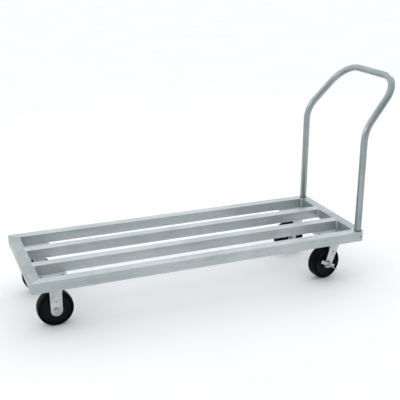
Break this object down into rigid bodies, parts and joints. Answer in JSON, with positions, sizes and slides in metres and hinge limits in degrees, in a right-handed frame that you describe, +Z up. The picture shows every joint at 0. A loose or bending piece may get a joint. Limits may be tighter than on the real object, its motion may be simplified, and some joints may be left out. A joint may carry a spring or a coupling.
{
  "type": "platform trolley",
  "caption": "Open-deck aluminium platform trolley of square tube rails on fixed and swivel casters with side brakes and a bent tube push handle.",
  "frame": {"origin": "on the floor, below the middle of the object's bounding box", "axes": "+X along the deck towards the handle, +Y across it, +Z up"},
  "size_m": [1.7014, 0.5588, 0.9355],
  "materials": {
    "rail_aluminium": "mill finish, lightly brushed along the rail",
    "socket_aluminium": "machined",
    "plate_aluminium": "mill finish sheet",
    "handle_aluminium": "drawn tube, satin",
    "zinc_fastener": "zinc plated",
    "black_screw": "black oxide",
    "caster_zinc": "zinc plated pressing",
    "bearing_steel": "ground",
    "tyre_rubber": "moulded black rubber",
    "core_black": "moulded black",
    "cam_black": "moulded black"
  },
  "bodies": {
    "deck": {"side_rail_near": "rail_aluminium", "side_rail_far": "rail_aluminium", "inner_rail_near": "rail_aluminium", "inner_rail_far": "rail_aluminium", "end_rail_front": "rail_aluminium", "end_rail_rear": "rail_aluminium", "handle_socket_near": "socket_aluminium", "handle_socket_far": "socket_aluminium", "corner_plate_front_near": "plate_aluminium", "corner_plate_front_far": "plate_aluminium", "corner_plate_rear_near": "plate_aluminium", "corner_plate_rear_far": "plate_aluminium", "plate_bolts": "zinc_fastener", "plate_nuts": "zinc_fastener", "socket_screws": "black_screw", "rigid_plate_near": "caster_zinc", "rigid_plate_far": "caster_zinc", "rigid_fork_near": "caster_zinc", "rigid_fork_far": "caster_zinc", "rigid_axle_bolts": "zinc_fastener", "rigid_axle_nuts": "zinc_fastener", "rigid_axle_sleeves": "bearing_steel", "swivel_plate_near": "caster_zinc", "swivel_plate_far": "caster_zinc", "kingpin_near": "zinc_fastener", "kingpin_far": "zinc_fastener", "kingpin_nut_near": "zinc_fastener", "kingpin_nut_far": "zinc_fastener", "swivel_balls_near": "bearing_steel", "swivel_balls_far": "bearing_steel"},
    "handle": {"handle_tube": "handle_aluminium"},
    "front_wheel_near": {"front_tyre_near": "tyre_rubber", "front_core_near": "core_black", "front_bearing_near": "bearing_steel"},
    "front_wheel_far": {"front_tyre_far": "tyre_rubber", "front_core_far": "core_black", "front_bearing_far": "bearing_steel"},
    "rear_fork_near": {"swivel_fork_near": "caster_zinc", "rear_axle_bolt_near": "zinc_fastener", "rear_axle_nut_near": "zinc_fastener", "rear_axle_sleeve_near": "bearing_steel", "brake_washer_near": "bearing_steel"},
    "rear_wheel_near": {"rear_tyre_near": "tyre_rubber", "rear_core_near": "core_black", "rear_bearing_near": "bearing_steel"},
    "brake_near": {"brake_lever_near": "caster_zinc", "brake_cam_near": "cam_black"},
    "rear_fork_far": {"swivel_fork_far": "caster_zinc", "rear_axle_bolt_far": "zinc_fastener", "rear_axle_nut_far": "zinc_fastener", "rear_axle_sleeve_far": "bearing_steel", "brake_washer_far": "bearing_steel"},
    "rear_wheel_far": {"rear_tyre_far": "tyre_rubber", "rear_core_far": "core_black", "rear_bearing_far": "bearing_steel"},
    "brake_far": {"brake_lever_far": "caster_zinc", "brake_cam_far": "cam_black"}
  },
  "joints": [
    {"name": "handle_lift", "type": "slide", "parent": "deck", "child": "handle", "axis": [0, 0, 1], "range_m": [0, 0.06]},
    {"name": "front_wheel_near_spin", "type": "hinge", "parent": "deck", "child": "front_wheel_near", "pos_m": [-0.74271, -0.17145, 0.0762], "axis": [0, 1, 0], "continuous": true},
    {"name": "front_wheel_far_spin", "type": "hinge", "parent": "deck", "child": "front_wheel_far", "pos_m": [-0.74271, 0.17145, 0.0762], "axis": [0, 1, 0], "continuous": true},
    {"name": "caster_near_swivel", "type": "hinge", "parent": "deck", "child": "rear_fork_near", "pos_m": [0.56539, -0.17145, 0.17135], "axis": [0, 0, 1], "continuous": true},
    {"name": "rear_wheel_near_spin", "type": "hinge", "parent": "rear_fork_near", "child": "rear_wheel_near", "pos_m": [0.52242, -0.17825, 0.0762], "axis": [-0.1564, 0.9877, 0], "continuous": true},
    {"name": "brake_near_press", "type": "hinge", "parent": "rear_fork_near", "child": "brake_near", "pos_m": [0.52242, -0.17825, 0.0762], "axis": [0.1564, -0.9877, 0], "range_deg": [0, 40]},
    {"name": "caster_far_swivel", "type": "hinge", "parent": "deck", "child": "rear_fork_far", "pos_m": [0.56539, 0.17145, 0.17135], "axis": [0, 0, 1], "continuous": true},
    {"name": "rear_wheel_far_spin", "type": "hinge", "parent": "rear_fork_far", "child": "rear_wheel_far", "pos_m": [0.52199, 0.16842, 0.0762], "axis": [-0.0698, 0.9976, 0], "continuous": true},
    {"name": "brake_far_press", "type": "hinge", "parent": "rear_fork_far", "child": "brake_far", "pos_m": [0.52199, 0.16842, 0.0762], "axis": [0.0698, -0.9976, 0], "range_deg": [0, 40]}
  ]
}
